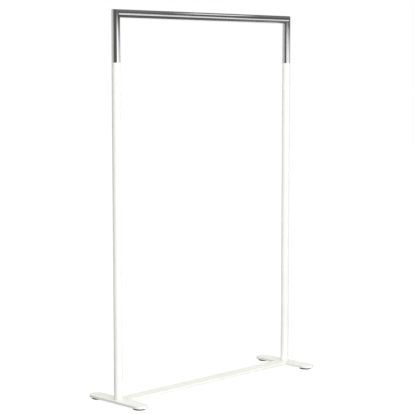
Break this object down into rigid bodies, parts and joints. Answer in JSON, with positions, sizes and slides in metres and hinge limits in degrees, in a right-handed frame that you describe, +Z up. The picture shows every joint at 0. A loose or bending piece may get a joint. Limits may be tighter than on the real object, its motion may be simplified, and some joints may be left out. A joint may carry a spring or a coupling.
{
  "type": "partition frame",
  "caption": "Free-standing open partition frame: chromed inverted U on white round posts, flat rounded feet, a flat floor bar and levelling glides.",
  "frame": {"origin": "on the floor, midway between the two posts", "axes": "+Z up; X across the frame from the left post to the right post; -Y towards the front"},
  "size_m": [1.232, 0.368, 1.8],
  "materials": {
    "chrome": "polished bright chrome plate",
    "white_powder": "fine smooth powder coat, semi-gloss",
    "steel": "bright zinc-plated steel",
    "black_plastic": "moulded matt plastic",
    "rubber": "matt moulded rubber"
  },
  "bodies": {
    "base_frame": {"cross_bar": "white_powder", "post_left": "white_powder", "post_grub_screw_left": "steel", "post_plug_left": "steel", "post_bolt_left": "steel", "foot_plate_left": "white_powder", "post_right": "white_powder", "post_grub_screw_right": "steel", "post_plug_right": "steel", "post_bolt_right": "steel", "foot_plate_right": "white_powder", "bar_screw_front_left": "steel", "bar_screw_rear_left": "steel", "bar_screw_front_right": "steel", "bar_screw_rear_right": "steel"},
    "top_frame": {"top_rail": "chrome", "top_leg_left": "chrome", "spigot_left": "steel", "leg_grub_screw_left": "steel", "top_leg_right": "chrome", "spigot_right": "steel", "leg_grub_screw_right": "steel"},
    "glide_base_front_left_body": {"glide_base_front_left": "rubber"},
    "glide_wheel_front_left_body": {"glide_wheel_front_left": "black_plastic", "glide_stud_front_left": "steel"},
    "glide_base_rear_left_body": {"glide_base_rear_left": "rubber"},
    "glide_wheel_rear_left_body": {"glide_wheel_rear_left": "black_plastic", "glide_stud_rear_left": "steel"},
    "glide_base_front_right_body": {"glide_base_front_right": "rubber"},
    "glide_wheel_front_right_body": {"glide_wheel_front_right": "black_plastic", "glide_stud_front_right": "steel"},
    "glide_base_rear_right_body": {"glide_base_rear_right": "rubber"},
    "glide_wheel_rear_right_body": {"glide_wheel_rear_right": "black_plastic", "glide_stud_rear_right": "steel"}
  },
  "joints": [
    {"name": "top_lift", "type": "slide", "parent": "base_frame", "child": "top_frame", "axis": [0, 0, 1], "range_m": [0, 0.075]},
    {"name": "glide_travel_front_left", "type": "slide", "parent": "base_frame", "child": "glide_base_front_left_body", "axis": [0, 0, -1], "range_m": [0, 0.005]},
    {"name": "glide_turn_front_left", "type": "hinge", "parent": "glide_base_front_left_body", "child": "glide_wheel_front_left_body", "pos_m": [-0.58, -0.142, 0.0033], "axis": [0, 0, -1], "range_deg": [0, 1440]},
    {"name": "glide_travel_rear_left", "type": "slide", "parent": "base_frame", "child": "glide_base_rear_left_body", "axis": [0, 0, -1], "range_m": [0, 0.005]},
    {"name": "glide_turn_rear_left", "type": "hinge", "parent": "glide_base_rear_left_body", "child": "glide_wheel_rear_left_body", "pos_m": [-0.58, 0.142, 0.0033], "axis": [0, 0, -1], "range_deg": [0, 1440]},
    {"name": "glide_travel_front_right", "type": "slide", "parent": "base_frame", "child": "glide_base_front_right_body", "axis": [0, 0, -1], "range_m": [0, 0.005]},
    {"name": "glide_turn_front_right", "type": "hinge", "parent": "glide_base_front_right_body", "child": "glide_wheel_front_right_body", "pos_m": [0.58, -0.142, 0.0033], "axis": [0, 0, -1], "range_deg": [0, 1440]},
    {"name": "glide_travel_rear_right", "type": "slide", "parent": "base_frame", "child": "glide_base_rear_right_body", "axis": [0, 0, -1], "range_m": [0, 0.005]},
    {"name": "glide_turn_rear_right", "type": "hinge", "parent": "glide_base_rear_right_body", "child": "glide_wheel_rear_right_body", "pos_m": [0.58, 0.142, 0.0033], "axis": [0, 0, -1], "range_deg": [0, 1440]}
  ],
  "couplings": [
    {"joint": "glide_turn_front_left", "follows": "glide_travel_front_left", "rad_per_m": 5026.5},
    {"joint": "glide_turn_rear_left", "follows": "glide_travel_rear_left", "rad_per_m": 5026.5},
    {"joint": "glide_turn_front_right", "follows": "glide_travel_front_right", "rad_per_m": 5026.5},
    {"joint": "glide_turn_rear_right", "follows": "glide_travel_rear_right", "rad_per_m": 5026.5}
  ]
}
